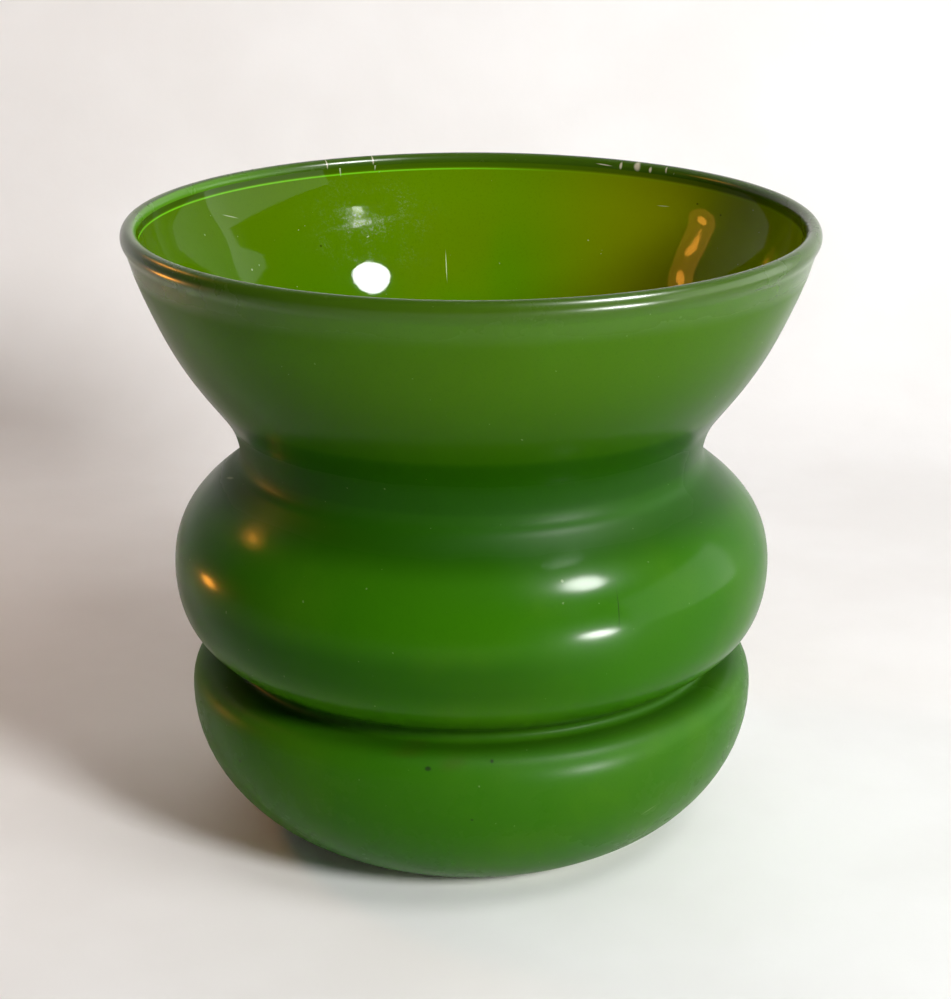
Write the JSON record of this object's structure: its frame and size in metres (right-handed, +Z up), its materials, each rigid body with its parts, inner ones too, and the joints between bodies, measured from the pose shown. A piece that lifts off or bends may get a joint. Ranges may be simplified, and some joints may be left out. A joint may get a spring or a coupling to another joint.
{
  "type": "glass vase",
  "caption": "Low round vase with a flared mouth, a waist and two bulging rings, in clear glass with a green enamel skin, for cut flowers.",
  "frame": {"origin": "middle of the foot, on the plane that the vase stands on", "axes": "+Z up along the vase's axis of revolution; +X and +Y lie in the plane of the foot, and -Y faces the viewer"},
  "size_m": [0.13, 0.13, 0.1197],
  "materials": {
    "clear_glass": "polished, green where the enamel shows through it",
    "green_enamel": "semi-gloss fired-on green enamel"
  },
  "bodies": {
    "root": {"glass_body": "clear_glass", "green_enamel_coat": "green_enamel"}
  },
  "joints": []
}
